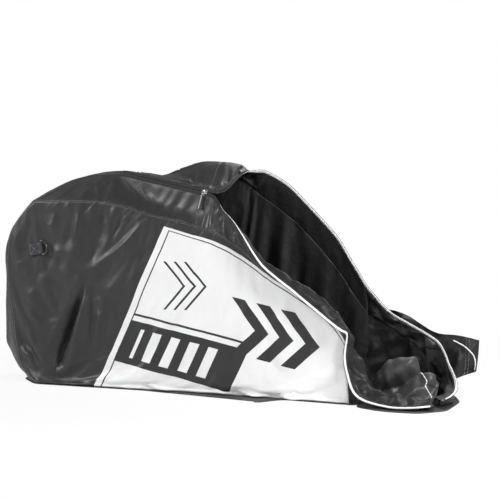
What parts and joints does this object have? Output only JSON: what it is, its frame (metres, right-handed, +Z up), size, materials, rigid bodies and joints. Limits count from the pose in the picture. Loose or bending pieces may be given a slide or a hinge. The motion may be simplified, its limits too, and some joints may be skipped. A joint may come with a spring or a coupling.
{
  "type": "bike travel bag",
  "caption": "Soft fabric travel bag for a bicycle, standing half unzipped with its front slumped open, with a lengthwise top zip and a webbing ring on one side.",
  "frame": {"origin": "on the floor, in the middle of the bag's length and width", "axes": "+X from the closed rear end to the open front, +Z up, -Y the printed side that carries the ring"},
  "size_m": [1.5491, 0.3802, 0.7172],
  "materials": {
    "charcoal_nylon": "coated plain weave with a soft sheen",
    "printed_nylon": null,
    "zip_tape": "black woven tape",
    "zip_coil": "white coil",
    "zip_clip": "black clip",
    "steel": "plated, lightly worn",
    "grip_band": "woven grey band with dark edges",
    "webbing": "black woven webbing"
  },
  "bodies": {
    "bag": {"bottom_panel": "charcoal_nylon", "front_floor_panel": "charcoal_nylon", "rear_gusset": "charcoal_nylon", "near_side_panel": "printed_nylon", "far_side_panel": "charcoal_nylon", "near_top_strip": "charcoal_nylon", "far_top_strip": "charcoal_nylon", "near_mouth_strip": "charcoal_nylon", "far_mouth_strip": "charcoal_nylon", "near_front_strip": "charcoal_nylon", "far_front_strip": "charcoal_nylon", "front_inner_fold": "charcoal_nylon", "far_front_panel": "charcoal_nylon", "near_zip_tape": "zip_tape", "far_zip_tape": "zip_tape", "near_zip_coil": "zip_coil", "far_zip_coil": "zip_coil", "rear_zip_stop": "zip_clip", "near_zip_stop": "zip_clip", "far_zip_stop": "zip_clip", "ring_webbing": "webbing"},
    "slider": {"zip_slider": "steel"},
    "pull": {"zip_pull": "steel"},
    "grip": {"zip_pull_grip": "grip_band"},
    "ring": {"d_ring": "steel"}
  },
  "joints": [
    {"name": "zip_travel", "type": "slide", "parent": "bag", "child": "slider", "axis": [0.9613, -0.2029, -0.1863], "range_m": [-0.19, 0]},
    {"name": "pull_swing", "type": "hinge", "parent": "slider", "child": "pull", "pos_m": [-0.03592, -0.07354, 0.6257], "axis": [-0.9613, 0.2029, 0.1863], "range_deg": [0, 120]},
    {"name": "grip_swing", "type": "hinge", "parent": "pull", "child": "grip", "pos_m": [-0.0408, -0.08158, 0.6093], "axis": [-0.9613, 0.2029, 0.1863], "range_deg": [0, 100]},
    {"name": "ring_swing", "type": "hinge", "parent": "bag", "child": "ring", "pos_m": [-0.58901, -0.11226, 0.44085], "axis": [0.1736, -0.0201, -0.9846], "range_deg": [0, 160]}
  ]
}
